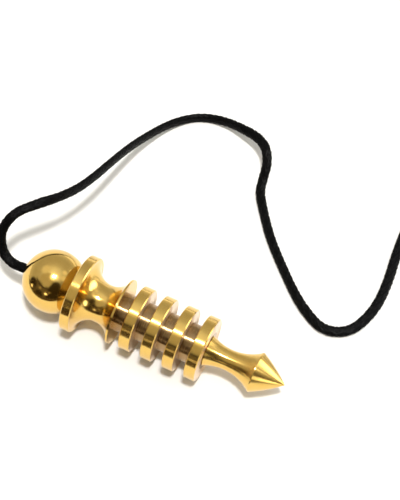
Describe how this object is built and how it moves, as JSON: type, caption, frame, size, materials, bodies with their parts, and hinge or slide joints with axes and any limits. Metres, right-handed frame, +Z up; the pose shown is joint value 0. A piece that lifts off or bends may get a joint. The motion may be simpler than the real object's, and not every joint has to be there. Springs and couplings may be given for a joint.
{
  "type": "plumb bob",
  "caption": "Turned brass hand plumb bob with a screw-on ball head, flanged neck, disc barrel and short pointed tip, on a black braided line.",
  "frame": {"origin": "on the resting surface, under the middle of the bob (head to tip), under its axis", "axes": "+X from the head to the tip, +Z up, +Y to the side where the line lies"},
  "size_m": [0.1064, 0.079, 0.0182],
  "materials": {
    "polished_brass": "polished",
    "disc_brass": "polished, with fine turning marks",
    "dull_brass": "as turned, slightly tarnished",
    "black_braid": "braided cord, matt"
  },
  "bodies": {
    "bob": {"neck_collar": "polished_brass", "core": "dull_brass", "disc_1": "disc_brass", "disc_2": "disc_brass", "disc_3": "disc_brass", "disc_4": "disc_brass", "point": "polished_brass"},
    "line": {"stopper_knot": "black_braid", "line_run": "black_braid", "line_coil": "black_braid", "end_knot": "black_braid"},
    "head": {"head_ball": "polished_brass"}
  },
  "joints": [
    {"name": "head_travel", "type": "slide", "parent": "bob", "child": "line", "axis": [-0.9988, 0, 0.0495], "range_m": [0, 0.0044]},
    {"name": "head_turn", "type": "hinge", "parent": "line", "child": "head", "pos_m": [-0.02484, 0, 0.00937], "axis": [-0.9988, 0, 0.0495], "range_deg": [0, 1980]}
  ],
  "couplings": [
    {"joint": "head_turn", "follows": "head_travel", "rad_per_m": 7854}
  ]
}
